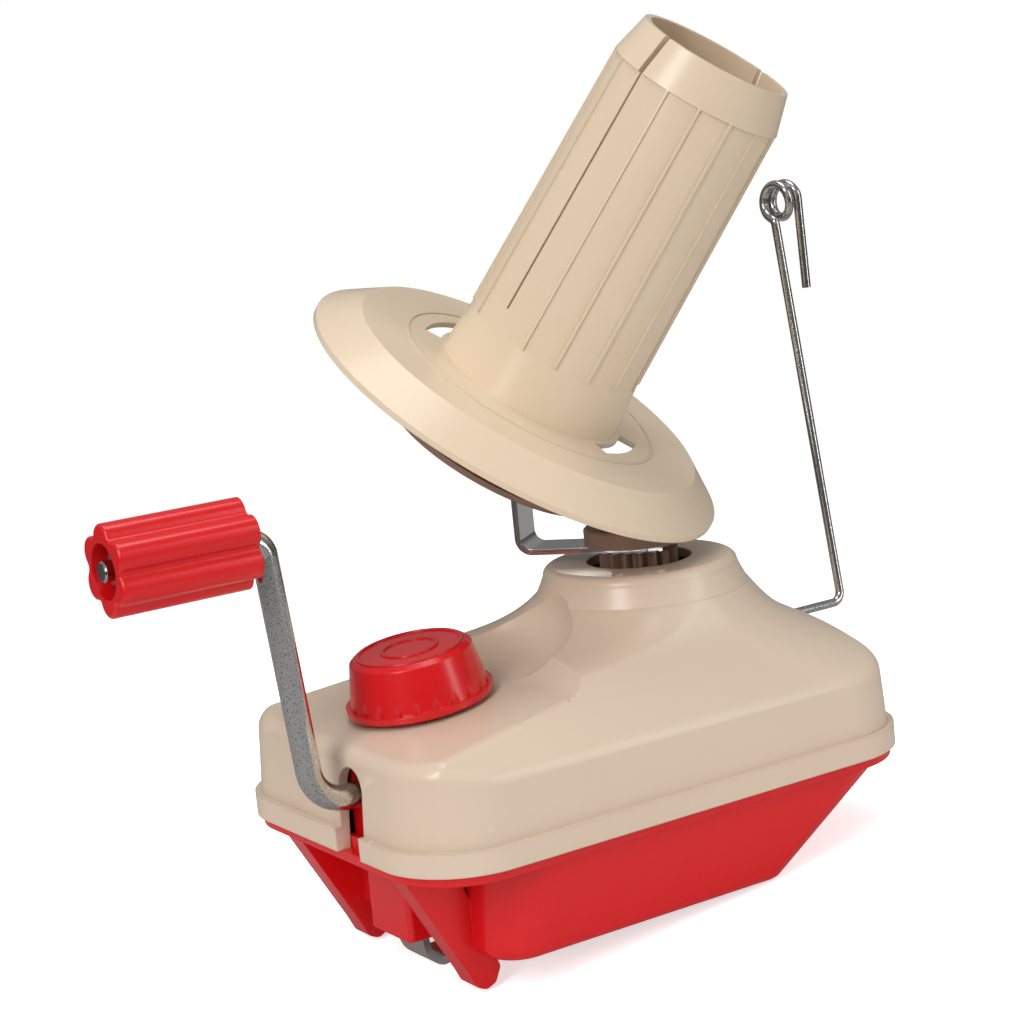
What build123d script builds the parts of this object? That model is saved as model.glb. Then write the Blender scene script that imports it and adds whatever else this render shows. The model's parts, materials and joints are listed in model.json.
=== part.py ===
"""Hand-cranked yarn cone winder that clamps to the edge of a table.

Frame: origin on the vertical spindle axis, in the plane of the tub's flat bottom (the table top).
+X runs along the housing from the crank end to the yarn guide, +Z up. Sizes in millimetres.
"""
from build123d import *
from math import atan, cos, degrees, pi, radians, sin, sqrt, tan
import os

os.makedirs("parts", exist_ok=True)

# ---------------------------------------------------------------- driving dimensions
# Housing outline, shared by both shells
crank_end_x = -97.0          # outer face of the rim at the crank end
far_end_x = 48.0             # outer face of the rim at the yarn guide end
rim_width = 99.0             # rim, across Y
rim_corner_r = 21.0          # rim corners in plan
rim_z = 26.0                 # parting line above the table
band_height = 5.5            # thick band round the upper shell's rim
band_step = 1.2              # how far the band stands proud of the wall
wall = 2.4                   # moulded wall of both shells
wall_draft = 4.0             # how far the upper wall leans in over its full height
seat_gap = 0.3               # gap between the shells where one nests in the other
fit_gap = 0.02               # radial gap of a part that is pressed or screwed in place
running_gap = 0.05           # radial gap of a shaft that turns in its bore
slip_gap = 0.3               # gap beside parts that slide or pass each other freely

# Deck with the clamp knob, neck with the spindle
neck_z = 76.4                # flat top of the neck
neck_top_r = 24.5            # just under the rounded edge
neck_foot_z = 69.0           # the neck is round from here up
neck_foot_r = 26.9
neck_ledge = 0.12            # hairline where the round neck stands on the roof
neck_hole_r = 13.2
neck_edge_r = 2.5
deck_tilt = 6.9              # degrees, rising towards the neck
knob_x = -66.8               # where the clamp screw's axis meets the deck
deck_z_at_knob = 53.6
deck_rear_x = -48.0          # the deck ends here, at the roof
shoulder_r = 4.0
deck_round = 10.0            # radius where the deck rises into the roof
scoop_x = -45.0              # middle of the hollow that runs from the deck to the neck
scoop_r = 21.5
scoop_round = 14.0           # radius between the hollow's floor and its wall

# Crank slot and crank
crank_y = -12.0
crank_z = 40.0
crank_slot_width = 10.7
crank_slot_top = 46.6
rod_r = 3.0                  # plated steel rod
crank_arm_x = -104.0         # foot of the arm
crank_throw = 62.6           # shaft axis to grip axis
crank_arm_lean = 5.6         # how far the arm leans outward over the throw
arm_bend_r = 9.0             # to the rod's centreline
grip_bend_r = 4.2
grip_inner_x = -114.2
grip_length = 33.2
grip_lobe_r = 3.7
grip_lobe_pitch_r = 6.7
grip_lobes = 6
grip_recess_r = 6.3
grip_recess_depth = 6.5
stud_r = 2.4                 # threaded end of the rod
stud_length = 6.8

# Gear train: crown gear on the crank, spur sleeve on the spindle
gear_module = 1.1
sleeve_teeth = 16
crown_teeth = 32
crown_face = 2.2             # tooth length across the crown gear
crown_tooth_thickness = 0.75 # loose, for teeth that are set off the gear's centre
crown_plate = 3.5
pressure_angle = 20.0

# Spindle
post_r = 3.0
post_boss_r = 6.3
post_boss_top = 51.5
sleeve_top = 79.0
hub_square = 7.4             # square hub that drives the bracket
strip_thickness = 1.5
strip_width = 12.0
collar_r = 13.3
collar_height = 4.2

# Tilted winding cone
cone_lean = 35.4             # degrees from the spindle axis
cone_lean_azimuth = -51.5    # direction that the cone leans towards at rest
axes_cross_z = 154.8         # where the cone axis meets the spindle axis
cross_to_flange = 49.5       # from there down the cone axis to the flange's lower rim
flange_r = 56.6
flange_top_r = 47.2
flange_height = 8.0
flange_ring_r = 34.5
flange_wall = 1.5
cone_base_r = 24.4
cone_foot_r = 23.0           # at the foot of the ribs
cone_neck_r = 21.6           # at the top of the ribs
cone_top_r = 19.4
rib_start_h = 21.5
rib_end_h = 92.3
cone_height = 102.2
cone_wall = 1.6
rib_count = 16
rib_proud = 0.5
rib_width = 0.8
slit_azimuth = -117.0        # in the flange plane, from the side that hangs lowest
slit_width = 1.5
seam_width = 0.6
window_in_r = 25.6
window_out_r = 30.0
window_span = 40.0
window_azimuth = -6.0

# Bevel pair: fixed sun gear on the post, gear under the flange
sun_teeth = 14
cone_gear_teeth = 36
bevel_face = 2.2
shroud_height = 2.2          # from the cone gear's lower face to the big end of its teeth
shroud_gap = 0.8             # the smooth rim stays this far below the sun gear's teeth
cone_gear_depth = 11.1       # lower face of the cone gear below the flange's rim
bevel_tooth_share = 0.40     # tooth thickness over pitch, for a loose mesh
pin_r = 3.0
pin_top_h = 34.0

# Clamp
box_min_x = -82.0
box_max_x = -52.0
box_width = 18.6
box_wall = 1.6
prong_y = 25.0
prong_thickness = 7.0
prong_width = 10.5
prong_tip_z = -8.6
prong_tip_x = -73.8
prong_slope = 25.0           # degrees from the vertical
jaw_width = 12.0
jaw_thickness = 1.8
jaw_low_z = -9.3             # underside of the jaw's toe, closed
jaw_stem_x = -77.0           # outer face of the stem at the tub's bottom
jaw_arm_z = 33.0
jaw_toe_length = 17.0
screw_r = 3.0
knob_base_r = 17.8
knob_top_r = 14.4
knob_height = 12.8
knob_gap = 1.2               # knob's underside above the deck
knob_flutes = 22

# Yarn guide
wire_r = 1.2
guide_y = 15.0
guide_z = 47.8
guide_corner_x = 77.1
guide_lean = 8.5             # degrees, as it stands at rest
guide_height = 106.4         # leg axis to the foot of the eyelet
eyelet_r = 4.5               # to the wire's centreline
eyelet_pitch = 3.1
eyelet_turn = 630            # degrees, from the eyelet's foot round to the tail
tail_length = 24.8
tail_lean = 0.8              # how far the tail's end stands off, away from the housing

# ---------------------------------------------------------------- derived places
housing_mid_x = (crank_end_x + far_end_x) / 2
housing_length = far_end_x - crank_end_x
deck_slope = tan(radians(deck_tilt))


def deck_z(x):
    """Height of the deck's plane at x."""
    return deck_z_at_knob + (x - knob_x) * deck_slope


screw_axis = Vector(-sin(radians(deck_tilt)), 0, cos(radians(deck_tilt)))
knob_plane = Plane(origin=(knob_x, 0, deck_z_at_knob), x_dir=(0, 1, 0), z_dir=screw_axis)

lean = radians(cone_lean)
lean_way = Vector(cos(radians(cone_lean_azimuth)), sin(radians(cone_lean_azimuth)), 0)
cone_axis = lean_way * sin(lean) + Vector(0, 0, cos(lean))
axes_cross = Vector(0, 0, axes_cross_z)
flange_centre = axes_cross - cone_axis * cross_to_flange
downhill = (lean_way - cone_axis * lean_way.dot(cone_axis)).normalized()
cone_plane = Plane(origin=flange_centre, x_dir=downhill, z_dir=cone_axis)
# Upright plane of the bracket: local x away from the lean, local y up
bracket_plane = Plane(origin=(0, 0, 0), x_dir=-lean_way, z_dir=(-lean_way).cross(Vector(0, 0, 1)))

pinion_pitch_r = gear_module * sleeve_teeth / 2
pinion_tip_r = pinion_pitch_r + gear_module
pinion_root_r = pinion_pitch_r - 1.25 * gear_module
crown_mesh_h = gear_module * crown_teeth / 2
crown_tip_x = -(pinion_pitch_r - 0.32 * gear_module)
crown_root_x = -(pinion_tip_r + 0.25 * gear_module)
crown_back_x = crown_root_x - crown_plate
crown_disc_r = sqrt((crown_mesh_h + crown_face / 2) ** 2 + crank_y ** 2) + 0.6

ratio = cone_gear_teeth / sun_teeth
sun_angle = atan(sin(lean) / (ratio + cos(lean)))
gear_angle = lean - sun_angle
bevel_out = (cross_to_flange + cone_gear_depth - shroud_height) / cos(gear_angle)
bevel_in = bevel_out - bevel_face
bevel_module = 2 * bevel_out * sin(sun_angle) / sun_teeth


def finish(part, name):
    """Label a finished piece and write it to its own file."""
    part.part.label = name
    export_step(part.part, f"parts/{name}.step")


# ---------------------------------------------------------------- housing
# Level lines of the bell-shaped roof: height, ends in X, half width, corner radius
roof_levels = (
    (40.0, -170.0, 84.0, 54.0, 48.0),
    (47.0, -140.0, 61.0, 46.3, 40.0),
    (54.0, -112.0, 45.5, 37.0, 34.0),
    (59.0, -72.0, 36.5, 31.8, 30.0),
    (63.5, -38.0, 31.2, 29.0, 28.0),
    (neck_foot_z, -neck_foot_r, neck_foot_r, neck_foot_r, neck_foot_r - 0.1),
)


def housing_form(inset):
    """Upper shell as a solid, with every face moved in by inset."""
    with BuildPart() as form:
        for z, draft in ((rim_z - 1, 0.0), (neck_z + 10, wall_draft)):
            side = 2 * (band_step + draft + inset)
            with BuildSketch(Plane.XY.offset(z)):
                with Locations((housing_mid_x, 0)):
                    RectangleRounded(housing_length - side, rim_width - side, rim_corner_r - side / 2)
        loft(ruled=True)
    with BuildPart() as roof:
        for z, x_low, x_high, half_y, corner in roof_levels:
            with BuildSketch(Plane.XY.offset(z - inset / 2)):
                with Locations(((x_low + x_high) / 2, 0)):
                    RectangleRounded(x_high - x_low - 2 * inset, 2 * (half_y - inset), corner - inset)
        loft()
        with BuildSketch(Plane.XY.offset(roof_levels[0][0] - inset / 2)):
            with Locations((housing_mid_x, 0)):
                Rectangle(2 * housing_length, 2 * rim_width)
        extrude(amount=-(roof_levels[0][0] - rim_z + 4))
        # Round neck
        foot_z = neck_foot_z - inset / 2
        foot_r = neck_foot_r - neck_ledge - inset
        top_r = neck_top_r - inset
        bend = neck_edge_r * (1 - sin(radians(45)))
        with BuildSketch(Plane.XZ):
            with BuildLine():
                Polyline(
                    (top_r - neck_edge_r, neck_z), (0, neck_z), (0, foot_z), (foot_r, foot_z),
                    ((foot_r + top_r) / 2 - 0.1, (foot_z + neck_z - neck_edge_r) / 2), (top_r, neck_z - neck_edge_r),
                )
                ThreePointArc(
                    (top_r, neck_z - neck_edge_r), (top_r - bend, neck_z - bend), (top_r - neck_edge_r, neck_z)
                )
            make_face()
        revolve(axis=Axis.Z)
    deck_edge = Plane(
        origin=(deck_rear_x + inset, 0, deck_z(deck_rear_x) - inset),
        x_dir=(cos(radians(deck_tilt)), 0, sin(radians(deck_tilt))),
        z_dir=screw_axis,
    )
    with BuildPart() as body:
        add(form.part)
        add(roof.part, mode=Mode.INTERSECT)
        with Locations(deck_edge):
            Box(90, 2 * rim_width, 60, align=(Align.MAX, Align.CENTER, Align.MIN), mode=Mode.SUBTRACT)
    return body.part


def hollow_form(inset):
    """Space above the deck's rear, which rises into the roof, and the hollow in front of the neck."""
    middle = 1 - sin(radians(45))
    bend = deck_round + inset
    rise_end = Vector(deck_rear_x, 0, deck_z(deck_rear_x)) - screw_axis * inset
    deck_rise = Plane(
        origin=rise_end, x_dir=(cos(radians(deck_tilt)), 0, sin(radians(deck_tilt))), z_dir=(0, -1, 0)
    )
    scoop_foot = Vector(scoop_x, 0, deck_z(scoop_x) + 0.02) - screw_axis * inset
    scoop_section = Plane(origin=scoop_foot, x_dir=(0, 1, 0), z_dir=Vector(0, 1, 0).cross(screw_axis))
    scoop_bend = scoop_round + inset
    reach = scoop_r + inset
    with BuildPart() as hollow:
        with BuildSketch(deck_rise):
            with BuildLine():
                Line((-1, 0), (0, 0))
                ThreePointArc((0, 0), (bend * (1 - middle), bend * middle), (bend, bend))
                Polyline((bend, bend), (bend, 30), (-1, 30), (-1, 0))
            make_face()
        extrude(amount=0.4 * rim_width, both=True)
        with BuildSketch(scoop_section):
            with BuildLine():
                Line((0, 0), (reach - scoop_bend, 0))
                ThreePointArc(
                    (reach - scoop_bend, 0), (reach - scoop_bend * middle, scoop_bend * middle), (reach, scoop_bend)
                )
                Polyline((reach, scoop_bend), (reach + 2, 30), (0, 30), (0, 0))
            make_face()
        revolve(axis=Axis(scoop_foot, screw_axis))
    return hollow.part


shell_outside = housing_form(0)
shell_inside = housing_form(wall)
boss_places = ((-60.0, 34.5), (-60.0, -34.5), (2.0, 34.5), (2.0, -34.5))
boss_r = 4.0
boss_screw_r = 1.5

with BuildPart() as cavity:
    add(shell_inside)
    add(hollow_form(wall), mode=Mode.SUBTRACT)
    split(bisect_by=Plane.XY.offset(neck_z - wall), keep=Keep.BOTTOM)

with BuildPart() as boss_posts:
    with BuildSketch(Plane.XY.offset(rim_z + seat_gap)):
        with Locations(*boss_places):
            Circle(boss_r)
    extrude(amount=neck_z)
    add(shell_outside, mode=Mode.INTERSECT)

with BuildPart() as guide_boss:
    with Locations((far_end_x - wall - 9, guide_y, guide_z - 3)):
        Box(18, 9, 12)
    add(shell_outside, mode=Mode.INTERSECT)



def is_shoulder(edge):
    """Edge between the walls and the roof or deck."""
    box = edge.bounding_box()
    middle = edge.center()
    along_wall = abs(middle.Y) > 43
    at_end = middle.X < crank_end_x + 9 or middle.X > far_end_x - 9
    return box.min.Z > 46 and box.max.Z < 56 and (along_wall or at_end)


with BuildPart() as upper_shell:
    add(shell_outside)
    fillet([edge for edge in upper_shell.edges() if is_shoulder(edge)], radius=shoulder_r)
    add(hollow_form(0), mode=Mode.SUBTRACT)
    with BuildSketch(Plane.XY.offset(rim_z)):
        with Locations((housing_mid_x, 0)):
            RectangleRounded(housing_length, rim_width, rim_corner_r)
    extrude(amount=band_height)
    add(cavity.part, mode=Mode.SUBTRACT)
    split(bisect_by=Plane.XY.offset(rim_z), keep=Keep.TOP)
    add(boss_posts.part)
    add(guide_boss.part)
    # Screw holes up into the bosses
    with BuildSketch(Plane.XY.offset(rim_z + seat_gap)):
        with Locations(*boss_places):
            Circle(boss_screw_r + fit_gap)
    extrude(amount=12, mode=Mode.SUBTRACT)
    # Round hole in the neck, and the clamp screw's hole in the deck
    with BuildSketch(Plane.XY.offset(neck_z - 2 * wall)):
        Circle(neck_hole_r)
    extrude(amount=4 * wall, mode=Mode.SUBTRACT)
    with BuildSketch(knob_plane.offset(-2 * wall)):
        Circle(screw_r + running_gap)
    extrude(amount=4 * wall, mode=Mode.SUBTRACT)
    # Arched slot for the crank, open at the rim
    with BuildSketch(Plane.YZ.offset(crank_end_x - 1)):
        with BuildLine():
            half = crank_slot_width / 2
            arch_z = crank_slot_top - half
            Line((crank_y - half, rim_z - 1), (crank_y - half, arch_z))
            ThreePointArc((crank_y - half, arch_z), (crank_y, crank_slot_top), (crank_y + half, arch_z))
            Line((crank_y + half, arch_z), (crank_y + half, rim_z - 1))
            Line((crank_y + half, rim_z - 1), (crank_y - half, rim_z - 1))
        make_face()
    extrude(amount=10, mode=Mode.SUBTRACT)
    # Bore for the yarn guide's leg
    with BuildSketch(Plane.YZ.offset(far_end_x - 26)):
        with Locations((guide_y, guide_z)):
            Circle(wire_r + running_gap)
    extrude(amount=30, mode=Mode.SUBTRACT)
finish(upper_shell, "upper_shell")

tub_floor = ((-76.0, 8.0), 41.0, 9.0)       # ends in X, half width, corner radius at the bottom
tub_rim_inset = 2.2                         # tub wall inside the rim's outline
ledge_inset = 1.4


def tub_form(inset, floor):
    """Tub as a solid, with its walls moved in by inset and its bottom raised to floor."""
    (low_x, high_x), half_y, corner = tub_floor
    top_high_x = far_end_x - tub_rim_inset
    top_half_y = rim_width / 2 - tub_rim_inset
    with BuildPart() as tub:
        with BuildSketch(Plane.XY.offset(floor)):
            with Locations(((low_x + high_x) / 2, 0)):
                RectangleRounded(high_x - low_x - 2 * inset, 2 * (half_y - inset), corner - inset)
        with BuildSketch(Plane.XY.offset(rim_z)):
            with Locations(((low_x + top_high_x) / 2, 0)):
                RectangleRounded(top_high_x - low_x - 2 * inset, 2 * (top_half_y - inset), corner + 9 - inset)
        loft(ruled=True)
    return tub.part


tub_outside = tub_form(0, 0)
tub_inside = tub_form(wall, wall)
lip_inset = band_step + wall + seat_gap
bearing_places = (-88.0, -30.0)
bearing_length = 6.0
bush_r = 5.0

prong_lean = tan(radians(prong_slope))
prong_half = prong_width / 2
with BuildPart() as prongs:
    tip_centre_z = prong_tip_z + prong_half - 0.6
    top_x = prong_tip_x - (rim_z - tip_centre_z) * prong_lean
    for side in (1, -1):
        with BuildSketch(Plane.XZ.offset(side * prong_y - prong_thickness / 2)):
            with BuildLine():
                Polyline(
                    (top_x - prong_half - 1.5, rim_z), (prong_tip_x - 4.2, tip_centre_z),
                    (prong_tip_x - 2.6, prong_tip_z + 1.2), (prong_tip_x, prong_tip_z),
                    (prong_tip_x + 2.6, prong_tip_z + 1.2), (prong_tip_x + 4.2, tip_centre_z),
                    (top_x + prong_half + 2.0, rim_z), close=True,
                )
            make_face()
        extrude(amount=prong_thickness)
    fillet(prongs.edges().filter_by(Axis.Y).group_by(Axis.Z)[0], radius=2.0)
    fillet(prongs.edges().filter_by(Axis.Y).filter_by_position(Axis.Z, -10, 0), radius=1.6)

with BuildPart() as lower_shell:
    add(tub_outside)
    fillet(lower_shell.edges().group_by(Axis.Z)[0], radius=3.0)
    # Ledge under the rim, and the lip that stands up inside the upper shell
    with BuildSketch(Plane.XY.offset(rim_z)):
        with Locations((housing_mid_x, 0)):
            side = 2 * ledge_inset
            RectangleRounded(housing_length - side, rim_width - side, rim_corner_r - ledge_inset)
    extrude(amount=-wall)
    with BuildSketch(Plane.XY.offset(rim_z)):
        with Locations((housing_mid_x, 0)):
            side = 2 * lip_inset
            RectangleRounded(housing_length - side, rim_width - side, rim_corner_r - lip_inset)
    extrude(amount=3.0)
    add(prongs.part)
    add(tub_inside, mode=Mode.SUBTRACT)
    with BuildSketch(Plane.XY.offset(rim_z)):
        with Locations((housing_mid_x, 0)):
            side = 2 * (lip_inset + 1.6)
            RectangleRounded(housing_length - side, rim_width - side, rim_corner_r - lip_inset - 1.6)
    extrude(amount=5.0, mode=Mode.SUBTRACT)
    # Square guide for the clamp jaw
    with BuildSketch(Plane.XY):
        with Locations(((box_min_x + box_max_x) / 2, 0)):
            RectangleRounded(box_max_x - box_min_x, box_width, 1.5)
    extrude(amount=rim_z)
    with BuildSketch(Plane.XY.offset(box_wall)):
        with Locations(((box_min_x + box_max_x) / 2, 0)):
            Rectangle(box_max_x - box_min_x - 2 * box_wall, box_width - 2 * box_wall)
    extrude(amount=rim_z, mode=Mode.SUBTRACT)
    with Locations((box_min_x + box_wall, 0, -1)):
        Box(9.0, jaw_width + 2 * slip_gap, 4, align=(Align.MIN, Align.CENTER, Align.MIN), mode=Mode.SUBTRACT)
    # Boss for the spindle post
    with BuildSketch(Plane.XY.offset(wall / 2)):
        Circle(post_boss_r)
    extrude(amount=post_boss_top - wall / 2)
    # Bearing posts under the crank shaft
    for x in bearing_places:
        with BuildSketch(Plane.YZ.offset(x - bearing_length / 2)):
            base = rim_z - wall if x < box_min_x else wall / 2
            with Locations((crank_y, (base + crank_z) / 2)):
                Rectangle(14, crank_z - base)
            with Locations((crank_y, crank_z)):
                Circle(7)
        extrude(amount=bearing_length)
    with BuildSketch(Plane.XY.offset(wall / 2)):
        with Locations(*boss_places):
            Circle(boss_r)
    extrude(amount=rim_z - wall / 2)
    # Bores: spindle post, crank bushes, case screws
    with BuildSketch(Plane.XY.offset(wall)):
        Circle(post_r + fit_gap)
    extrude(amount=post_boss_top, mode=Mode.SUBTRACT)
    with BuildSketch(Plane.YZ.offset(crank_end_x - 1)):
        with Locations((crank_y, crank_z)):
            Circle(bush_r + fit_gap)
    extrude(amount=bearing_places[1] + bearing_length - crank_end_x, mode=Mode.SUBTRACT)
    with BuildSketch(Plane.XY):
        with Locations(*boss_places):
            Circle(boss_screw_r + fit_gap)
    extrude(amount=rim_z + 1, mode=Mode.SUBTRACT)
    with BuildSketch(Plane.XY):
        with Locations(*boss_places):
            Circle(3.0)
    extrude(amount=8.0, mode=Mode.SUBTRACT)
finish(lower_shell, "lower_shell")

with BuildPart() as case_screws:
    with BuildSketch(Plane.XY.offset(5.8)):
        with Locations(*boss_places):
            Circle(2.7)
    extrude(amount=2.2)
    with BuildSketch(Plane.XY.offset(8.0)):
        with Locations(*boss_places):
            Circle(boss_screw_r)
    extrude(amount=28.0)
finish(case_screws, "case_screws")

# ---------------------------------------------------------------- spindle
sun_bottom_z = sleeve_top + strip_thickness + 0.4
post_top_z = axes_cross_z - bevel_in * cos(sun_angle) - 0.4
with BuildPart() as spindle_post:
    with BuildSketch(Plane.XY.offset(wall)):
        Circle(post_r)
    extrude(amount=post_top_z - wall)
    with BuildSketch(Plane.XY.offset(post_top_z)):
        Circle(1.5 + fit_gap)
    extrude(amount=-9, mode=Mode.SUBTRACT)
    chamfer(spindle_post.edges().group_by(Axis.Z)[0], length=0.5)
finish(spindle_post, "spindle_post")

with BuildPart() as thrust_washer:
    with BuildSketch(Plane.XY.offset(post_boss_top)):
        Circle(6.0)
        Circle(post_r + running_gap, mode=Mode.SUBTRACT)
    extrude(amount=1.0)
finish(thrust_washer, "thrust_washer")

sleeve_bottom = post_boss_top + 1.0 + 0.1
with BuildSketch() as sleeve_tooth:
    with BuildLine():
        Polyline(
            (pinion_root_r - 0.6, -1.05), (pinion_root_r, -1.05), (pinion_pitch_r, -0.72),
            (pinion_tip_r, -0.34), (pinion_tip_r, 0.34), (pinion_pitch_r, 0.72),
            (pinion_root_r, 1.05), (pinion_root_r - 0.6, 1.05), close=True,
        )
    make_face()

with BuildSketch() as sleeve_outline:
    Circle(pinion_root_r)
    with PolarLocations(0, sleeve_teeth, start_angle=180 / sleeve_teeth):
        add(sleeve_tooth.sketch)

with BuildPart() as drive_sleeve:
    with BuildSketch(Plane.XY.offset(sleeve_bottom)):
        add(sleeve_outline.sketch)
    extrude(amount=sleeve_top - sleeve_bottom)
    with BuildSketch(Plane.XY.offset(sleeve_top)):
        Rectangle(hub_square, hub_square)
    extrude(amount=strip_thickness)
    with BuildSketch(Plane.XY.offset(sleeve_bottom)):
        Circle(post_r + running_gap)
    extrude(amount=sleeve_top, mode=Mode.SUBTRACT)
finish(drive_sleeve, "drive_sleeve")

# Bracket: a strip that leaves the sleeve, rises beside it and ends in a tab square to the cone axis
riser_reach = 29.5
foot_mid_z = sleeve_top + strip_thickness / 2
washer_thickness = 0.8
tab_mid_h = -(cone_gear_depth + washer_thickness + 0.3 + strip_thickness / 2)


def beside_cone(h, along):
    """Point in the bracket's plane at height h on the cone axis, along the tab's slope."""
    start = flange_centre + cone_axis * h - downhill * along
    return (-start.dot(lean_way), start.Z)


tab_foot = beside_cone(tab_mid_h, 0)
tab_top = beside_cone(tab_mid_h, 7.5)
tab_rise = (tab_top[1] - tab_foot[1]) / (tab_top[0] - tab_foot[0])
riser_top_z = tab_foot[1] - (tab_foot[0] - riser_reach) * tab_rise

with BuildPart() as rotor_bracket:
    with BuildSketch(bracket_plane):
        with BuildLine():
            FilletPolyline(
                (-8.0, foot_mid_z), (riser_reach, foot_mid_z), (riser_reach, riser_top_z), tab_top,
                radius=3.6,
            )
        trace(line_width=strip_thickness)
    extrude(amount=strip_width / 2, both=True)
    with BuildSketch(Plane.XY.offset(sleeve_top - 1)):
        Rectangle(hub_square + 2 * fit_gap, hub_square + 2 * fit_gap)
    extrude(amount=strip_thickness + 2, mode=Mode.SUBTRACT)
    with BuildSketch(cone_plane.offset(tab_mid_h - 3)):
        Circle(pin_r + fit_gap)
    extrude(amount=6, mode=Mode.SUBTRACT)
finish(rotor_bracket, "rotor_bracket")


def bevel_tooth(angle, slant_in, slant_out, apex_plane, deepen):
    """One tooth that tapers towards the crossing of the axes, on a pitch cone of this half angle.

    apex_plane has its origin where the axes cross and its z axis pointing along the gear's axis,
    away from the crossing.
    """
    with BuildPart() as tooth:
        for slant in (slant_out, slant_in):
            m = bevel_module * slant / bevel_out
            thickness = pi * m * bevel_tooth_share / 2
            out = Vector(sin(angle), 0, cos(angle))
            normal = Vector(cos(angle), 0, -sin(angle))
            at = apex_plane.from_local_coords(out * slant)
            z_dir = apex_plane.from_local_coords(out) - apex_plane.origin
            y_dir = apex_plane.from_local_coords(normal) - apex_plane.origin
            with BuildSketch(Plane(origin=at, x_dir=y_dir, z_dir=z_dir)):
                with BuildLine():
                    Polyline(
                        (-deepen * m, -1.5 * thickness), (0, -thickness), (m, -0.45 * thickness),
                        (m, 0.45 * thickness), (0, thickness), (-deepen * m, 1.5 * thickness), close=True,
                    )
                make_face()
        loft(ruled=True)
    return tooth.part


# Sun gear: collar, narrow waist that the cone gear's rim passes, bevel teeth
down_plane = Plane(origin=axes_cross, x_dir=-lean_way, z_dir=(0, 0, -1))
waist_r = 8.4
sun_low_z = axes_cross_z - bevel_out * cos(sun_angle)
sun_tooth = bevel_tooth(sun_angle, bevel_in, bevel_out, down_plane, 1.5)
root_share = 1.25 * bevel_module / bevel_out
sun_root_low = bevel_out * (sin(sun_angle) - root_share * cos(sun_angle))
sun_root_high = bevel_in * (sin(sun_angle) - root_share * cos(sun_angle))
with BuildPart() as sun_gear:
    with BuildSketch(Plane.XZ):
        with BuildLine():
            Polyline(
                (post_r + fit_gap, sun_bottom_z), (collar_r, sun_bottom_z),
                (collar_r, sun_bottom_z + collar_height - 0.5),
                (collar_r - 0.5, sun_bottom_z + collar_height), (waist_r, sun_bottom_z + collar_height),
                (waist_r, sun_low_z - 0.3), (sun_root_low, sun_low_z - 0.3),
                (sun_root_high, post_top_z + 0.4), (post_r + fit_gap, post_top_z + 0.4), close=True,
            )
        make_face()
    revolve(axis=Axis.Z)
    # A gap faces the cone gear's tooth on the bracket's side
    for i in range(sun_teeth):
        add(sun_tooth.rotate(Axis.Z, (i + 0.5) * 360 / sun_teeth))
finish(sun_gear, "sun_gear")

with BuildPart() as sun_screw:
    with BuildSketch(Plane.XY.offset(post_top_z + 0.4)):
        Circle(3.6)
    extrude(amount=1.4)
    with BuildSketch(Plane.XY.offset(post_top_z + 0.4)):
        Circle(1.5)
    extrude(amount=-8)
    fillet(sun_screw.edges().group_by(Axis.Z)[-1], radius=0.6)
finish(sun_screw, "sun_screw")

# ---------------------------------------------------------------- winding cone
with BuildPart() as cone_pin:
    with BuildSketch(cone_plane.offset(tab_mid_h - strip_thickness / 2 - 0.9)):
        Circle(4.4)
    extrude(amount=0.9)
    with BuildSketch(cone_plane.offset(tab_mid_h - strip_thickness / 2)):
        Circle(pin_r)
    extrude(amount=pin_top_h - tab_mid_h + strip_thickness / 2)
finish(cone_pin, "cone_pin")

with BuildPart() as pin_washer:
    with BuildSketch(cone_plane.offset(tab_mid_h + strip_thickness / 2)):
        Circle(6.0)
        Circle(pin_r + running_gap, mode=Mode.SUBTRACT)
    extrude(amount=washer_thickness)
finish(pin_washer, "pin_washer")

hub_top_h = pin_top_h - 3.0
cone_up_plane = Plane(origin=axes_cross, x_dir=downhill, z_dir=-cone_axis)
gear_tooth = bevel_tooth(gear_angle, bevel_in - 1.2, bevel_out, cone_up_plane, 1.5)
web_top_h = -cone_gear_depth + 3.0
screw_ring_r = 19.6


def gear_root_r(slant):
    return slant * (sin(gear_angle) - root_share * cos(gear_angle))


def slant_h(slant):
    """Height on the cone axis, from the flange's rim, of a place on the gear's pitch cone."""
    return cross_to_flange - slant * cos(gear_angle)


shroud_r = bevel_out * sin(gear_angle) + bevel_module * cos(gear_angle) + 0.4
# Cone plane turned so that its sketch x is a radius and its y the cone axis
cone_section = Plane(origin=flange_centre, x_dir=downhill, z_dir=downhill.cross(cone_axis))
cone_line = Axis(origin=flange_centre, direction=cone_axis)
with BuildPart() as cone_gear:
    with BuildSketch(cone_section):
        with BuildLine():
            Polyline(
                (pin_r + running_gap, -cone_gear_depth), (shroud_r, -cone_gear_depth),
                (shroud_r, slant_h(bevel_out) - shroud_gap),
                (gear_root_r(bevel_out), slant_h(bevel_out) - shroud_gap),
                (gear_root_r(bevel_out), slant_h(bevel_out)),
                (gear_root_r(bevel_in - 1.6), slant_h(bevel_in - 1.6)),
                (gear_root_r(bevel_in - 1.6) - 2.0, slant_h(bevel_in - 1.6)),
                (gear_root_r(bevel_in - 1.6) - 2.0, web_top_h), (6.0, web_top_h), (6.0, hub_top_h),
                (pin_r + running_gap, hub_top_h), close=True,
            )
        make_face()
    revolve(axis=cone_line)
    for i in range(cone_gear_teeth):
        add(gear_tooth.rotate(cone_line, 180 + i * 360 / cone_gear_teeth))
    with BuildSketch(cone_plane.offset(-cone_gear_depth)):
        with PolarLocations(screw_ring_r, 3, start_angle=20):
            Circle(1.4 + fit_gap)
    extrude(amount=5, mode=Mode.SUBTRACT)
finish(cone_gear, "cone_gear")

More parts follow.
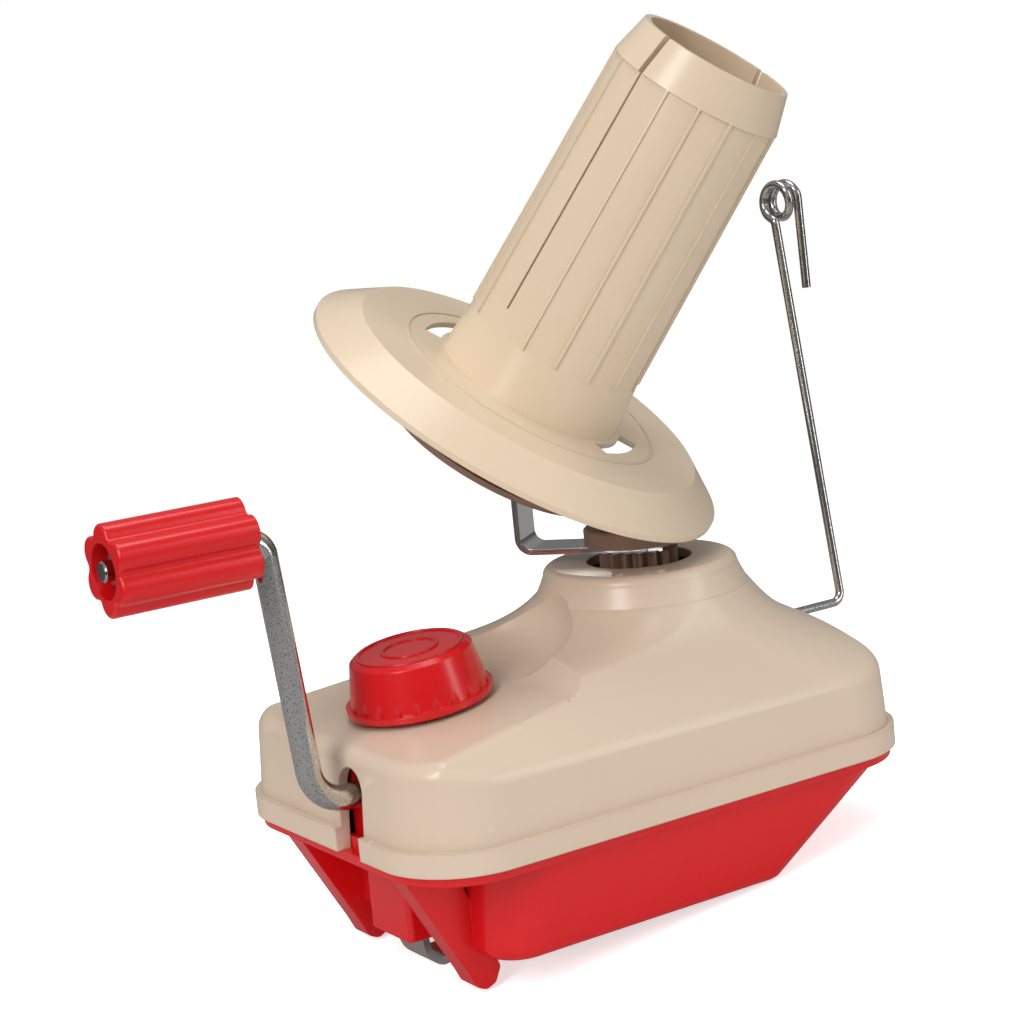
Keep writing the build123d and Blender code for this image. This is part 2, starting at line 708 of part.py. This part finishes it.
with BuildPart() as cone_screws:
    with BuildSketch(cone_plane.offset(-cone_gear_depth - 0.2)):
        with PolarLocations(screw_ring_r, 3, start_angle=20):
            Circle(2.4)
    extrude(amount=0.2)
    with BuildSketch(cone_plane.offset(-cone_gear_depth)):
        with PolarLocations(screw_ring_r, 3, start_angle=20):
            Circle(1.4)
    extrude(amount=10)
finish(cone_screws, "cone_screws")

with BuildPart() as pin_clip:
    with BuildSketch(cone_plane.offset(hub_top_h + 0.3)):
        Circle(6.2)
        Circle(pin_r, mode=Mode.SUBTRACT)
    extrude(amount=0.8)
finish(pin_clip, "pin_clip")

inner_foot_r = cone_foot_r - cone_wall
rib_root = 0.5
with BuildPart() as rib:
    for h, r in ((rib_start_h, cone_foot_r), (rib_end_h, cone_neck_r)):
        with BuildSketch(cone_plane.offset(h)):
            with PolarLocations(r + (rib_proud - rib_root) / 2, 1, start_angle=slit_azimuth):
                Rectangle(rib_proud + rib_root, rib_width)
    loft(ruled=True)

with BuildPart() as winding_cone:
    with BuildSketch(cone_section):
        with BuildLine():
            Polyline(
                (flange_r, 0), (flange_r, 1.4), (flange_top_r, flange_height), (cone_base_r, flange_height),
                (cone_foot_r, rib_start_h), (cone_neck_r, rib_end_h),
                (cone_neck_r + rib_proud, rib_end_h), (cone_top_r, cone_height),
                (cone_top_r - cone_wall, cone_height), (cone_neck_r - cone_wall, rib_end_h),
                (inner_foot_r, rib_start_h), (inner_foot_r, flange_height - flange_wall),
                (flange_top_r - 0.8, flange_height - flange_wall), (flange_r - flange_wall, 0), close=True,
            )
        make_face()
    revolve(axis=cone_line)
    # Fine raised ring on the flange
    with BuildSketch(cone_plane.offset(flange_height)):
        Circle(flange_ring_r + 0.3)
        Circle(flange_ring_r - 0.3, mode=Mode.SUBTRACT)
    extrude(amount=0.25)
    # Windows round the foot of the cone
    with BuildSketch(cone_plane.offset(flange_height - 2 * flange_wall)):
        for turn in (0, 180):
            with BuildLine():
                start = window_azimuth + turn - window_span / 2
                window_in = CenterArc((0, 0), window_in_r, start, window_span)
                window_out = CenterArc((0, 0), window_out_r, start, window_span)
                Line(window_in @ 0, window_out @ 0)
                Line(window_in @ 1, window_out @ 1)
            make_face()
    extrude(amount=4 * flange_wall, mode=Mode.SUBTRACT)
    # Slit down both sides: wide through the tip, then a fine seam
    with BuildSketch(cone_plane.offset(rib_end_h)):
        Rectangle(3 * cone_neck_r, slit_width, rotation=slit_azimuth)
    extrude(amount=cone_height, mode=Mode.SUBTRACT)
    with BuildSketch(cone_plane.offset(rib_start_h + 6)):
        Rectangle(3 * cone_foot_r, seam_width, rotation=slit_azimuth)
    extrude(amount=cone_height, mode=Mode.SUBTRACT)
    # Ribs, flush with the tip's lower edge
    for i in range(rib_count):
        if i % (rib_count // 2):
            add(rib.part.rotate(cone_line, i * 360 / rib_count))
    # Bosses that the gear is screwed to
    with BuildSketch(cone_plane.offset(web_top_h)):
        with PolarLocations(screw_ring_r, 3, start_angle=20):
            Circle(2.8)
    extrude(amount=flange_height - 0.2 - web_top_h)
    with BuildSketch(cone_plane.offset(web_top_h)):
        with PolarLocations(screw_ring_r, 3, start_angle=20):
            Circle(1.4 + fit_gap)
    extrude(amount=9, mode=Mode.SUBTRACT)
finish(winding_cone, "winding_cone")

# ---------------------------------------------------------------- crank
arm_top_x = crank_arm_x - crank_arm_lean
grip_axis_z = crank_z + crank_throw
grip_outer_x = grip_inner_x - grip_length
shoulder_x = grip_outer_x + grip_recess_depth - 0.2      # the grip has this much end play
with BuildPart() as crank_rod:
    with BuildLine():
        FilletPolyline(
            (crown_root_x - 0.6, crank_y, crank_z), (crank_arm_x, crank_y, crank_z),
            (arm_top_x, crank_y, grip_axis_z), (shoulder_x, crank_y, grip_axis_z),
            radius=[arm_bend_r, grip_bend_r],
        )
    with BuildSketch(Plane.YZ.offset(crown_root_x - 0.6)):
        with Locations((crank_y, crank_z)):
            Circle(rod_r)
    sweep()
    with BuildSketch(Plane.YZ.offset(shoulder_x)):
        with Locations((crank_y, grip_axis_z)):
            Circle(stud_r)
    extrude(amount=-stud_length)
    chamfer(crank_rod.edges().group_by(Axis.X)[0], length=0.4)
finish(crank_rod, "crank_rod")

grip_plane = Plane.YZ.offset(grip_outer_x)
with BuildPart() as grip:
    with BuildSketch(grip_plane) as grip_outline:
        with Locations((crank_y, grip_axis_z)):
            Circle(grip_lobe_pitch_r + 0.6)
            with PolarLocations(grip_lobe_pitch_r, grip_lobes, start_angle=90):
                Circle(grip_lobe_r)
        fillet(grip_outline.vertices(), radius=1.2)
    extrude(amount=grip_length)
    fillet(grip.edges().group_by(Axis.X)[0], radius=0.8)
    with BuildSketch(grip_plane):
        with Locations((crank_y, grip_axis_z)):
            Circle(grip_recess_r)
    extrude(amount=grip_recess_depth, mode=Mode.SUBTRACT)
    with BuildSketch(grip_plane):
        with Locations((crank_y, grip_axis_z)):
            Circle(rod_r + running_gap)
    extrude(amount=grip_length, mode=Mode.SUBTRACT)
finish(grip, "grip")

grip_washer_thickness = 0.8
grip_nut_height = 3.0
with BuildPart() as grip_washer:
    with BuildSketch(Plane.YZ.offset(shoulder_x)):
        with Locations((crank_y, grip_axis_z)):
            Circle(5.2)
            Circle(stud_r + fit_gap, mode=Mode.SUBTRACT)
    extrude(amount=-grip_washer_thickness)
finish(grip_washer, "grip_washer")

with BuildPart() as grip_nut:
    with BuildSketch(Plane.YZ.offset(shoulder_x - grip_washer_thickness)):
        with Locations((crank_y, grip_axis_z)):
            RegularPolygon(radius=4.4, side_count=6)
            Circle(stud_r + fit_gap, mode=Mode.SUBTRACT)
    extrude(amount=-grip_nut_height)
    chamfer(grip_nut.edges().group_by(Axis.X)[0].filter_by(GeomType.LINE), length=0.35)
finish(grip_nut, "grip_nut")

crown_plane = Plane(origin=(crown_root_x, crank_y, crank_z), x_dir=(0, 1, 0), z_dir=(1, 0, 0))
crown_depth = crown_tip_x - crown_root_x
crown_flank = tan(radians(pressure_angle))
crown_root_t = crown_tooth_thickness + 2 * (crown_depth - 0.9 * gear_module) * crown_flank
crown_tip_t = crown_tooth_thickness - 2 * 0.9 * gear_module * crown_flank
# The crown's teeth are set off its centre by the crank's offset, so that each stands upright at the mesh
with BuildPart() as crown_tooth:
    for x, thickness in ((0.0, crown_root_t), (crown_depth, crown_tip_t)):
        with BuildSketch(crown_plane.offset(x)):
            with Locations((-crank_y, crown_mesh_h)):
                Rectangle(thickness, crown_face)
    loft(ruled=True)
with BuildPart() as crank_gear:
    with BuildSketch(crown_plane):
        Circle(crown_disc_r)
    extrude(amount=-crown_plate)
    with BuildSketch(crown_plane.offset(-crown_plate)):
        Circle(7.0)
    extrude(amount=-6.0)
    for i in range(crown_teeth):
        add(crown_tooth.part.rotate(Axis((0, crank_y, crank_z), (1, 0, 0)), i * 360 / crown_teeth))
    # Lightening ring in the back of the plate
    with BuildSketch(crown_plane.offset(-crown_plate)):
        Circle(crown_disc_r - 3.0)
        Circle(10.0, mode=Mode.SUBTRACT)
    extrude(amount=1.4, mode=Mode.SUBTRACT)
    with BuildSketch(crown_plane.offset(-crown_plate - 6.0)):
        Circle(rod_r + fit_gap)
    extrude(amount=crown_plate + 7.0, mode=Mode.SUBTRACT)
finish(crank_gear, "crank_gear")

for name, x in zip(("crank_bush_front", "crank_bush_rear"), bearing_places):
    with BuildPart() as bush:
        with BuildSketch(Plane.YZ.offset(x - bearing_length / 2)):
            with Locations((crank_y, crank_z)):
                Circle(bush_r)
                Circle(rod_r + running_gap, mode=Mode.SUBTRACT)
        extrude(amount=bearing_length)
        with BuildSketch(Plane.YZ.offset(x + bearing_length / 2)):
            with Locations((crank_y, crank_z)):
                Circle(bush_r + 1.2)
                Circle(rod_r + running_gap, mode=Mode.SUBTRACT)
        extrude(amount=0.9)
    finish(bush, name)

clip_x = bearing_places[0] + bearing_length / 2 + 0.9 + 0.3
with BuildPart() as crank_clip:
    with BuildSketch(Plane.YZ.offset(clip_x)):
        with Locations((crank_y, crank_z)):
            Circle(5.2)
            Circle(rod_r, mode=Mode.SUBTRACT)
    extrude(amount=0.9)
finish(crank_clip, "crank_clip")

# ---------------------------------------------------------------- clamp
knob_seat = knob_plane.offset(knob_gap)
knob_section = Plane(origin=knob_seat.origin, x_dir=(0, 1, 0), z_dir=Vector(0, 1, 0).cross(screw_axis))
with BuildPart() as clamp_knob:
    with BuildSketch(knob_section):
        with BuildLine():
            Polyline(
                (0, 0), (knob_base_r, 0), (knob_base_r, 1.6), (knob_base_r - 1.0, 1.6),
                (knob_top_r + 0.4, knob_height - 1.0), (knob_top_r - 0.8, knob_height), (0, knob_height), close=True,
            )
        make_face()
    revolve(axis=Axis(knob_seat.origin, screw_axis))
    # Flutes, shallow and rounded, fading at the chamfer
    with BuildSketch(knob_seat.offset(1.6)):
        with PolarLocations(knob_base_r + 0.35, knob_flutes):
            Circle(1.9)
    extrude(amount=knob_height, mode=Mode.SUBTRACT)
    # Raised rim and centre ring on the top
    with BuildSketch(knob_seat.offset(knob_height)):
        Circle(knob_top_r - 1.4)
        Circle(knob_top_r - 2.2, mode=Mode.SUBTRACT)
        Circle(7.0)
        Circle(6.3, mode=Mode.SUBTRACT)
    extrude(amount=0.35)
    with BuildSketch(knob_seat):
        Circle(screw_r)
    extrude(amount=knob_height - 3.0, mode=Mode.SUBTRACT)
finish(clamp_knob, "clamp_knob")

screw_bottom_z = 5.5
screw_length = (deck_z_at_knob - screw_bottom_z) / cos(radians(deck_tilt))
with BuildPart() as clamp_screw:
    with BuildSketch(knob_plane.offset(knob_gap + knob_height - 3.0)):
        Circle(screw_r)
    extrude(amount=-(screw_length + knob_gap + knob_height - 3.0))
    # Collar that bears on the underside of the deck
    with BuildSketch(knob_plane.offset(-wall - slip_gap)):
        Circle(5.5)
    extrude(amount=-1.5)
finish(clamp_screw, "clamp_screw")


def beside_screw(x, z):
    """Point (x, z) moved along the clamp screw's slope as if it started at the tub's bottom."""
    return (x - z * deck_slope, z)


toe_x = beside_screw(jaw_stem_x, 0)[0] + jaw_toe_length
arm_tip_x = knob_x + (deck_z_at_knob - jaw_arm_z) * deck_slope
half_strip = jaw_thickness / 2
with BuildPart() as clamp_jaw:
    with BuildSketch(Plane.XZ):
        with BuildLine():
            stem_mid = jaw_stem_x + half_strip
            low_mid = jaw_low_z + half_strip
            FilletPolyline(
                (arm_tip_x + 5.5, jaw_arm_z + 5.5 * deck_slope),
                (beside_screw(stem_mid, jaw_arm_z)[0], jaw_arm_z - (arm_tip_x - stem_mid) * deck_slope),
                (beside_screw(stem_mid, low_mid)[0], low_mid),
                (toe_x, low_mid), (toe_x + 3.0, low_mid + 2.6),
                radius=[2.6, 6.0, 2.0],
            )
        trace(line_width=jaw_thickness)
    extrude(amount=jaw_width / 2, both=True)
    with BuildSketch(Plane(origin=(arm_tip_x, 0, jaw_arm_z), z_dir=screw_axis).offset(-4)):
        Circle(screw_r + 0.1)
    extrude(amount=8, mode=Mode.SUBTRACT)
finish(clamp_jaw, "clamp_jaw")

with BuildPart() as clamp_nut:
    arm_plane = Plane(origin=(arm_tip_x, 0, jaw_arm_z), x_dir=(0, 1, 0), z_dir=screw_axis)
    with BuildSketch(arm_plane.offset(-half_strip)):
        Rectangle(10, 10)
        Circle(screw_r + running_gap, mode=Mode.SUBTRACT)
    extrude(amount=-5.0)
finish(clamp_nut, "clamp_nut")

# ---------------------------------------------------------------- yarn guide
swing = radians(guide_lean)
guide_up = Vector(0, sin(swing), cos(swing))
guide_side = Vector(0, cos(swing), -sin(swing))
corner = Vector(guide_corner_x, guide_y, guide_z)
leg_end_x = far_end_x - 24.0
leg_bend_r = 3.0


def biarc(start, end, start_way, end_way):
    """Two arcs that touch, from start to end, leaving and arriving along the given directions."""
    chord = end - start
    both = start_way + end_way
    turn = 2 * (1 - start_way.dot(end_way))
    reach = (sqrt(chord.dot(both) ** 2 + turn * chord.dot(chord)) - chord.dot(both)) / turn
    middle = (start + start_way * reach + end - end_way * reach) / 2
    middle_way = (end - end_way * reach - start - start_way * reach).normalized()
    TangentArc(start, middle, tangent=start_way)
    TangentArc(middle, end, tangent=middle_way)


arm_top = corner + guide_up * (guide_height - 1.8)
eye = corner + guide_up * (guide_height + eyelet_r)
stations = [(arm_top, guide_up)]
for degree in range(45, eyelet_turn + 1, 45):
    a = radians(degree)
    place = guide_side * sin(a) - guide_up * cos(a)
    way = (guide_side * cos(a) + guide_up * sin(a)) * eyelet_r + Vector(eyelet_pitch / (2 * pi), 0, 0)
    stations.append((eye + place * eyelet_r + Vector(eyelet_pitch * degree / 360, 0, 0), way.normalized()))
tail_way = Vector(tail_lean, 0, -tail_length).normalized()
tail_start = stations[-1][0]
stations[-1] = (tail_start, tail_way)
with BuildPart() as yarn_guide:
    with BuildLine() as wire:
        FilletPolyline(
            (leg_end_x, guide_y, guide_z), tuple(corner), tuple(arm_top), radius=leg_bend_r,
        )
        for (start, start_way), (end, end_way) in zip(stations, stations[1:]):
            biarc(start, end, start_way, end_way)
        Line(tail_start, tail_start + tail_way * tail_length)
    with BuildSketch(Plane.YZ.offset(leg_end_x)):
        with Locations((guide_y, guide_z)):
            Circle(wire_r)
    sweep()
finish(yarn_guide, "yarn_guide")

with BuildPart() as guide_clip:
    with BuildSketch(Plane.YZ.offset(far_end_x - wall - 18 - 1.2)):
        with Locations((guide_y, guide_z)):
            Circle(3.0)
            Circle(wire_r, mode=Mode.SUBTRACT)
    extrude(amount=0.8)
finish(guide_clip, "guide_clip")

# Least gap between the guide's own turns, measured on points along its centreline
path = wire.line.wires()[0] if hasattr(wire.line, "wires") else wire.line
samples = 700
points = [path.position_at(i / samples) for i in range(samples + 1)]
spacing = path.length / samples
apart = int(3 * eyelet_r / spacing)
least = min(
    (points[i] - points[j]).length
    for i in range(0, samples + 1, 2)
    for j in range(i + apart, samples + 1)
    if abs(points[i].Z - points[j].Z) < 2 * eyelet_r
)
print(f"yarn guide: least gap between turns {least - 2 * wire_r:.2f} mm")
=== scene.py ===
"""Studio picture of the yarn cone winder: finishes, paper floor, soft boxes and camera round the CAD frame.

Lengths are in metres, except where a name ends in _MM. The origin is on the spindle axis, in the plane
of the tub's flat bottom. +X runs from the crank end to the yarn guide and +Z up. The frame's solids carry
every shape, so nothing is added to the winder here: each solid gets its finish, and the studio is built
round it.
"""

import json

import bpy
from mathutils import Matrix, Vector

MM = 0.001

# Moulded plastic
PLASTIC_IOR = 1.5
DRIFT_MM = 100 / 3        # patches in which the colour drifts
SHEEN_MM = 25 / 3         # patches in which the gloss drifts
SHEEN_DRIFT = 0.03        # by this share of the roughness, up and down
PEBBLE_MM = 0.35          # pebbles of the mould's surface
COAT_ROUGHNESS = 0.12
GLOW_DEPTH_MM = 2.0       # how far light spreads inside the ivory plastic
GLOW_REACH = (1.0, 0.7, 0.5)

# Plated metal
SPECK_COLOUR = "#4A4744"
SPECK_FROM = 0.52         # noise level at which a speck begins
SPECK_FULL = 0.66
PLATE_EDGE_MM = 0.15
PLATE_ROUGH = (0.7, 1.4)  # span of the roughness, as shares of the metal's own

# Paper floor
PAPER_SIZE = 12.0
PAPER_WHOLE = 0.22        # the paper is opaque out to this distance
PAPER_GONE = 0.6
PAPER_LIFT = 0.62         # brings the lit paper up to white without washing out the shadow
PAPER_MISSED = 0.7        # share of the paper that reflections look through
PRONG_FOOT = Vector((-74.0, 0.0, -9.4)) * MM
TUB_FOOT = Vector((6.0, 0.0, -0.1)) * MM

# Room
HORIZON_LEVEL = 0.16
CEILING_LEVEL = 0.5
CEILING_FROM = 0.35       # sine of the height at which the ceiling begins
REFLECTED_LEVEL = 0.5     # reflections see the room this much darker

# Softboxes: place, width and height, watts, colour
WINDER_MIDDLE = (0.0, 0.0, 0.09)
SOFTBOXES = {
    "key softbox": ((-1.0, -0.5, 0.7), (0.35, 0.9), 8.3, "#FFFBF8"),
    "fill softbox": ((0.6, -0.95, 0.45), (0.25, 1.0), 2.6, "#FFFFFF"),
    "top softbox": ((0.05, 0.05, 1.2), (0.6, 0.6), 3.7, "#FFFFFF"),
}

# Camera, fitted to the photograph
CAMERA_LENS_MM = 84.3
CAMERA_FILM_MM = 36.0
CAMERA_NEAR = 0.01
CAMERA_PLACE = (-0.3410, -0.4823, 0.1946)
CAMERA_RIGHT = (0.8318, -0.5463, -0.0985)
CAMERA_UP = (0.1763, 0.0920, 0.9800)
CAMERA_BACK = (-0.5264, -0.8325, 0.1728)


def srgb(text):
    """Linear RGBA from a hex sRGB colour."""
    values = [int(text[i:i + 2], 16) / 255 for i in (1, 3, 5)]
    return tuple(v / 12.92 if v <= 0.04045 else ((v + 0.055) / 1.055) ** 2.4 for v in values) + (1.0,)


def node(tree, kind, inputs=(), **settings):
    """Add a node with its settings. Each input is linked to a socket or set to a value."""
    made = tree.nodes.new(kind)
    for name, value in settings.items():
        setattr(made, name, value)
    for name, value in dict(inputs).items():
        if isinstance(value, bpy.types.NodeSocket):
            tree.links.new(value, made.inputs[name])
        else:
            made.inputs[name].default_value = value
    return made


def new_material(name):
    """Material with an empty tree and its output."""
    material = bpy.data.materials.new(name)
    material.use_nodes = True
    tree = material.node_tree
    tree.nodes.clear()
    return material, tree, node(tree, "ShaderNodeOutputMaterial")


def place_in_mm(tree):
    """Each point's place on its own piece, in millimetres."""
    place = node(tree, "ShaderNodeTexCoord")
    scaled = node(
        tree, "ShaderNodeVectorMath", {0: place.outputs["Object"], "Scale": 1 / MM}, operation="SCALE",
    )
    return scaled.outputs["Vector"]


def mixed_colour(tree, factor, first, second):
    """Colour between two hex colours."""
    mix = node(tree, "ShaderNodeMix", {"Factor": factor}, data_type="RGBA")
    for socket in mix.inputs:
        if socket.type == "RGBA":
            socket.default_value = srgb(first if socket.name == "A" else second)
    return next(socket for socket in mix.outputs if socket.type == "RGBA")


def rounded_normal(tree, height, edge_mm, depth_mm):
    """Shading of softened edges, with a fine relief on top."""
    soft = node(tree, "ShaderNodeBevel", {"Radius": edge_mm * MM}, samples=4)
    relief = {"Height": height, "Normal": soft.outputs["Normal"], "Strength": 1.0, "Distance": depth_mm * MM}
    return node(tree, "ShaderNodeBump", relief).outputs["Normal"]


def plastic(name, colour, deep, roughness, edge_mm, pebble_depth_mm, coat=0.0, glow=0.0):
    """Injection-moulded plastic: slight colour and gloss drift, fine pebbles, softened edges."""
    material, tree, output = new_material(name)
    mm = place_in_mm(tree)
    drift = node(tree, "ShaderNodeTexNoise", {"Vector": mm, "Scale": 1 / DRIFT_MM, "Detail": 3.0})
    pebbles = node(tree, "ShaderNodeTexNoise", {"Vector": mm, "Scale": 1 / PEBBLE_MM, "Detail": 2.0})
    sheen = node(tree, "ShaderNodeTexNoise", {"Vector": mm, "Scale": 1 / SHEEN_MM, "Detail": 4.0})
    rough = node(tree, "ShaderNodeMapRange", {
        "Value": sheen.outputs["Fac"],
        "To Min": roughness * (1 - SHEEN_DRIFT),
        "To Max": roughness * (1 + SHEEN_DRIFT),
    })
    surface = node(tree, "ShaderNodeBsdfPrincipled", {
        "Base Color": mixed_colour(tree, drift.outputs["Fac"], colour, deep),
        "Normal": rounded_normal(tree, pebbles.outputs["Fac"], edge_mm, pebble_depth_mm),
        "Roughness": rough.outputs["Result"],
        "IOR": PLASTIC_IOR,
        "Coat Weight": coat,
        "Coat Roughness": COAT_ROUGHNESS,
        "Subsurface Weight": glow,
        "Subsurface Radius": GLOW_REACH,
        "Subsurface Scale": GLOW_DEPTH_MM * MM,
    })
    tree.links.new(surface.outputs["BSDF"], output.inputs["Surface"])
    return material


def metal(name, colour, roughness, specks, speck_mm=0.5, relief_mm=0.01):
    """Plated or bare metal, with fine dark specks in its skin."""
    material, tree, output = new_material(name)
    mm = place_in_mm(tree)
    spots = node(
        tree, "ShaderNodeTexNoise",
        {"Vector": mm, "Scale": 1 / speck_mm, "Detail": 4.0, "Roughness": 0.7},
    ).outputs["Fac"]
    dark = node(tree, "ShaderNodeMapRange", {
        "Value": spots, "From Min": SPECK_FROM, "From Max": SPECK_FULL, "To Min": 0.0, "To Max": specks,
    })
    rough = node(tree, "ShaderNodeMapRange", {
        "Value": spots, "To Min": roughness * PLATE_ROUGH[0], "To Max": roughness * PLATE_ROUGH[1],
    })
    surface = node(tree, "ShaderNodeBsdfPrincipled", {
        "Base Color": mixed_colour(tree, dark.outputs["Result"], colour, SPECK_COLOUR),
        "Normal": rounded_normal(tree, spots, PLATE_EDGE_MM, relief_mm),
        "Roughness": rough.outputs["Result"],
        "Metallic": 1.0,
    })
    tree.links.new(surface.outputs["BSDF"], output.inputs["Surface"])
    return material


def winder_finishes():
    """The material of each slot in the frame's record."""
    return {
        # Satin covers with wide, soft highlights on the neck and the rim
        "housing": plastic("moulded ABS, beige", "#D9C6B2", "#D5C1AB", 0.27, 0.6, 0.005),
        # Slightly clear at its thin edges, so the flange's rim and the slit look warm
        "cone": plastic("moulded polypropylene, ivory", "#E4D2B8", "#E1CDB2", 0.26, 0.35, 0.004, glow=0.15),
        # The glossiest plastic, with crisp lights on the grip's lobes and the knob
        "red": plastic("moulded ABS, red", "#DB1219", "#D61017", 0.26, 0.5, 0.006, coat=0.2),
        # Dull, a little greasy, with hardly any highlight
        "gear": plastic("moulded nylon, brown", "#8E7362", "#866B5B", 0.4, 0.25, 0.015),
        # Bright, with a grey, speckled core
        "rod": metal("nickel-plated drawn rod, speckled", "#D9D8D6", 0.14, 0.75, relief_mm=0.02),
        # Nearly a mirror on its flat faces
        "strip": metal("nickel-plated rolled strip", "#E8E7E5", 0.1, 0.08, speck_mm=0.8),
        # Greyer and duller than the plating of the rod
        "steel": metal("zinc-plated turned steel", "#C4C4C2", 0.3, 0.15),
        # Dull gold
        "bush": metal("sintered bronze bush", "#B98A55", 0.35, 0.2),
    }


def give_finishes(frame):
    """Put each solid's material on it."""
    finishes = winder_finishes()
    slot_of = {part["node"]: part["material_slot"] for part in frame["record"]["subparts"]}
    for name, piece in frame["nodes"].items():
        finish = finishes[slot_of[name]]
        if piece.material_slots:
            for place in piece.material_slots:
                place.material = finish
        else:
            piece.data.materials.append(finish)


def white_paper():
    """Matt white paper that carries the shadow and fades out into the white backdrop."""
    paper, tree, output = new_material("matt white paper")
    place = node(tree, "ShaderNodeTexCoord")
    reach = node(tree, "ShaderNodeVectorMath", {0: place.outputs["Object"]}, operation="LENGTH")
    fade = node(
        tree, "ShaderNodeMapRange",
        {"Value": reach.outputs["Value"], "From Min": PAPER_WHOLE, "From Max": PAPER_GONE},
        interpolation_type="SMOOTHSTEP",
    )
    rays = node(tree, "ShaderNodeLightPath")
    lift = node(
        tree, "ShaderNodeMath", {0: rays.outputs["Is Camera Ray"], 1: PAPER_LIFT}, operation="MULTIPLY",
    )
    glow = node(tree, "ShaderNodeEmission", {"Color": srgb("#FFFFFF"), "Strength": lift.outputs["Value"]})
    surface = node(tree, "ShaderNodeBsdfDiffuse", {"Color": srgb("#FAFAFA")})
    lit = node(tree, "ShaderNodeAddShader", {0: surface.outputs["BSDF"], 1: glow.outputs["Emission"]})
    # Reflections see the paper only faintly, so that polished metal keeps its dark core
    missed = node(
        tree, "ShaderNodeMath", {0: rays.outputs["Is Glossy Ray"], 1: PAPER_MISSED}, operation="MULTIPLY",
    )
    gone = node(
        tree, "ShaderNodeMath", {0: fade.outputs["Result"], 1: missed.outputs["Value"]}, operation="MAXIMUM",
    )
    clear = node(tree, "ShaderNodeBsdfTransparent")
    blend = node(tree, "ShaderNodeMixShader", {
        "Fac": gone.outputs["Value"], 1: lit.outputs["Shader"], 2: clear.outputs["BSDF"],
    })
    tree.links.new(blend.outputs["Shader"], output.inputs["Surface"])
    return paper


def paper_floor():
    """Floor that leans with the winder, which stands on its prong tips and the tub's far edge."""
    way = (TUB_FOOT - PRONG_FOOT).normalized()
    rise = Vector((-way.z, 0.0, way.x))
    bpy.ops.mesh.primitive_plane_add(size=PAPER_SIZE)
    floor = bpy.context.object
    floor.name = "floor"
    floor.matrix_world = Matrix((
        (way.x, 0.0, rise.x, PRONG_FOOT.x),
        (0.0, 1.0, 0.0, 0.0),
        (way.z, 0.0, rise.z, PRONG_FOOT.z),
        (0.0, 0.0, 0.0, 1.0),
    ))
    floor.data.materials.append(white_paper())
    return floor


def studio_room(scene):
    """White backdrop for the camera, and a grey room with a lighter ceiling for everything else."""
    world = bpy.data.worlds.new("studio")
    scene.world = world
    world.use_nodes = True
    tree = world.node_tree
    tree.nodes.clear()
    coords = node(tree, "ShaderNodeTexCoord")
    height = node(tree, "ShaderNodeSeparateXYZ", {"Vector": coords.outputs["Generated"]})
    band = node(tree, "ShaderNodeMapRange", {
        "Value": height.outputs["Z"],
        "From Min": 0.0,
        "From Max": CEILING_FROM,
        "To Min": HORIZON_LEVEL,
        "To Max": CEILING_LEVEL,
    }, interpolation_type="SMOOTHSTEP")
    rays = node(tree, "ShaderNodeLightPath")
    dim = node(tree, "ShaderNodeMapRange", {
        "Value": rays.outputs["Is Glossy Ray"], "To Min": 1.0, "To Max": REFLECTED_LEVEL,
    })
    level = node(
        tree, "ShaderNodeMath", {0: band.outputs["Result"], 1: dim.outputs["Result"]}, operation="MULTIPLY",
    )
    room = node(tree, "ShaderNodeBackground", {"Color": srgb("#FFFFFF"), "Strength": level.outputs["Value"]})
    backdrop = node(tree, "ShaderNodeBackground", {"Color": srgb("#FFFFFF"), "Strength": 1.0})
    choose = node(tree, "ShaderNodeMixShader", {
        "Fac": rays.outputs["Is Camera Ray"],
        1: room.outputs["Background"],
        2: backdrop.outputs["Background"],
    })
    node(tree, "ShaderNodeOutputWorld", {"Surface": choose.outputs["Shader"]})


def softbox(name, place, size, watts, colour):
    """Rectangular soft light that faces the middle of the winder."""
    data = bpy.data.lights.new(name, "AREA")
    data.shape = "RECTANGLE"
    data.size, data.size_y = size
    data.energy = watts
    data.color = srgb(colour)[:3]
    lamp = bpy.data.objects.new(name, data)
    bpy.context.scene.collection.objects.link(lamp)
    lamp.location = place
    lamp.rotation_euler = (Vector(WINDER_MIDDLE) - Vector(place)).to_track_quat("-Z", "Y").to_euler()


def studio_camera(scene):
    """Camera at the photograph's place and angle."""
    data = bpy.data.cameras.new("camera")
    data.lens = CAMERA_LENS_MM
    data.sensor_width = CAMERA_FILM_MM
    data.clip_start = CAMERA_NEAR
    camera = bpy.data.objects.new("camera", data)
    scene.collection.objects.link(camera)
    camera.matrix_world = Matrix((
        CAMERA_RIGHT + (0.0,), CAMERA_UP + (0.0,), CAMERA_BACK + (0.0,), CAMERA_PLACE + (1.0,),
    )).transposed()
    return camera


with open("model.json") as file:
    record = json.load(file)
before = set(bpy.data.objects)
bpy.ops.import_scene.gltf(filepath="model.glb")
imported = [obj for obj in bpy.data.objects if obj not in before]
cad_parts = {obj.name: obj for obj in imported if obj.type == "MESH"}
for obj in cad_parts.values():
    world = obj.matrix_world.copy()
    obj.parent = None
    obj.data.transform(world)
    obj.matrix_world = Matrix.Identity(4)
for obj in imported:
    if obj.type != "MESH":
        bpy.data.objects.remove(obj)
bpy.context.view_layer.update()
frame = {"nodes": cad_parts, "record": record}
scene = bpy.context.scene
give_finishes(frame)

floor = paper_floor()
studio_room(scene)
for name, (place, size, watts, colour) in SOFTBOXES.items():
    softbox(name, place, size, watts, colour)
scene.camera = studio_camera(scene)
scene.view_settings.view_transform = "Standard"
